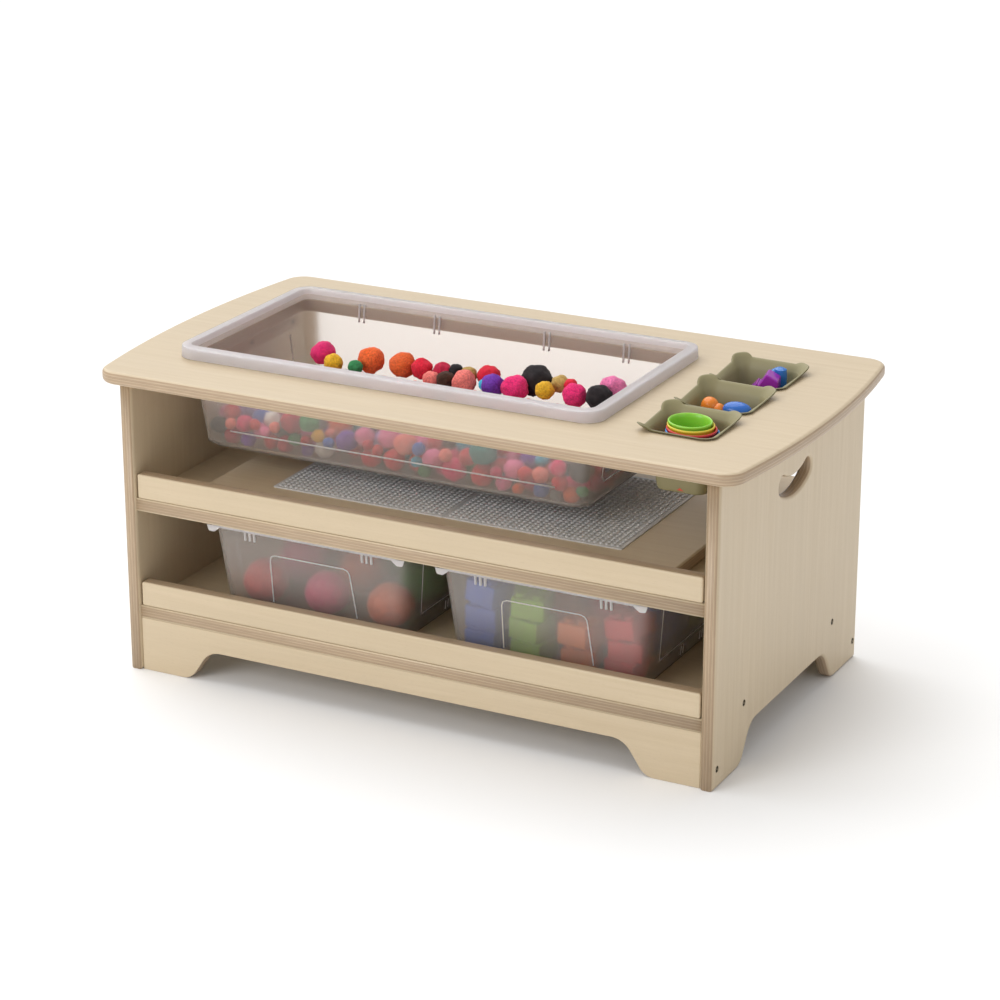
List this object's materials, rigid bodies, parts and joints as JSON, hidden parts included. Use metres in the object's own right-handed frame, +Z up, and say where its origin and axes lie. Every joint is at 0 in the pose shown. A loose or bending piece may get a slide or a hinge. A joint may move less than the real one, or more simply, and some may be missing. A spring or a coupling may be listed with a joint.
{
  "type": "play table",
  "caption": "Low plywood play table with a lift-out clear tub, silicone bowls set in the top, a loose stud board and pull-out storage bins.",
  "frame": {"origin": "centre of the table's footprint, on the floor", "axes": "+X along the length to the right, +Y from the front to the back, +Z up"},
  "size_m": [0.9558, 0.52, 0.443],
  "materials": {
    "birch_ply": "clear satin lacquer over pale birch veneer, laminated edges showing",
    "hardwood": "plain sanded beech",
    "screw_steel": "black oxide",
    "grey_plastic": "moulded, satin",
    "clear_plastic": "frosted translucent moulded plastic",
    "pompom_yarn": "fuzzy cut yarn, many colours",
    "olive_silicone": "matte silicone",
    "coral_silicone": "matte silicone",
    "blue_silicone": "matte silicone",
    "red_silicone": "matte silicone",
    "yellow_silicone": "matte silicone",
    "green_silicone": "matte silicone",
    "orange_plastic": "moulded, glossy",
    "blue_plastic": "moulded, glossy",
    "purple_plastic": "moulded, glossy",
    "green_plastic": "moulded, satin",
    "red_plastic": "moulded, satin",
    "red_foam": "soft foam",
    "pink_foam": "soft foam",
    "orange_foam": "soft foam",
    "green_foam": "soft foam"
  },
  "bodies": {
    "frame": {"table_top": "birch_ply", "side_panel_left": "birch_ply", "side_panel_right": "birch_ply", "mid_shelf": "birch_ply", "mid_rail": "birch_ply", "bottom_shelf": "birch_ply", "bottom_rail": "birch_ply", "apron_front": "birch_ply", "apron_back": "birch_ply", "cleat_left": "hardwood", "cleat_right": "hardwood", "panel_screws": "screw_steel", "cleat_screws": "screw_steel", "shelf_dowels": "hardwood"},
    "play_tub": {"tub": "clear_plastic", "tub_pompoms": "pompom_yarn"},
    "front_bowl": {"bowl_front": "olive_silicone", "cup_coral": "coral_silicone", "cup_blue": "blue_silicone", "cup_red": "red_silicone", "cup_yellow": "yellow_silicone", "cup_green": "green_silicone"},
    "middle_bowl": {"bowl_middle": "olive_silicone", "figure_orange": "orange_plastic", "figure_blue": "blue_plastic"},
    "back_bowl": {"bowl_back": "olive_silicone", "scoop_purple": "purple_plastic", "scoop_blue": "blue_plastic", "ball_small": "red_plastic"},
    "building_board": {"play_board": "birch_ply", "baseplate_left": "grey_plastic", "baseplate_right": "grey_plastic"},
    "left_bin": {"bin_left": "clear_plastic", "balls_red": "red_foam", "balls_pink": "pink_foam", "balls_orange": "orange_foam", "balls_green": "green_foam"},
    "right_bin": {"bin_right": "clear_plastic", "blocks_blue": "blue_plastic", "blocks_green": "green_plastic", "blocks_red": "red_plastic", "blocks_orange": "orange_plastic"}
  },
  "joints": [
    {"name": "tub_lift", "type": "slide", "parent": "frame", "child": "play_tub", "axis": [0, 0, 1], "range_m": [0, 0.16]},
    {"name": "front_bowl_lift", "type": "slide", "parent": "frame", "child": "front_bowl", "axis": [0, 0, 1], "range_m": [0, 0.1]},
    {"name": "middle_bowl_lift", "type": "slide", "parent": "frame", "child": "middle_bowl", "axis": [0, 0, 1], "range_m": [0, 0.1]},
    {"name": "back_bowl_lift", "type": "slide", "parent": "frame", "child": "back_bowl", "axis": [0, 0, 1], "range_m": [0, 0.1]},
    {"name": "board_pull", "type": "slide", "parent": "frame", "child": "building_board", "axis": [0, 1, 0], "range_m": [0, 0.3]},
    {"name": "left_bin_pull", "type": "slide", "parent": "frame", "child": "left_bin", "axis": [0, 1, 0], "range_m": [0, 0.35]},
    {"name": "right_bin_pull", "type": "slide", "parent": "frame", "child": "right_bin", "axis": [0, 1, 0], "range_m": [0, 0.35]}
  ]
}
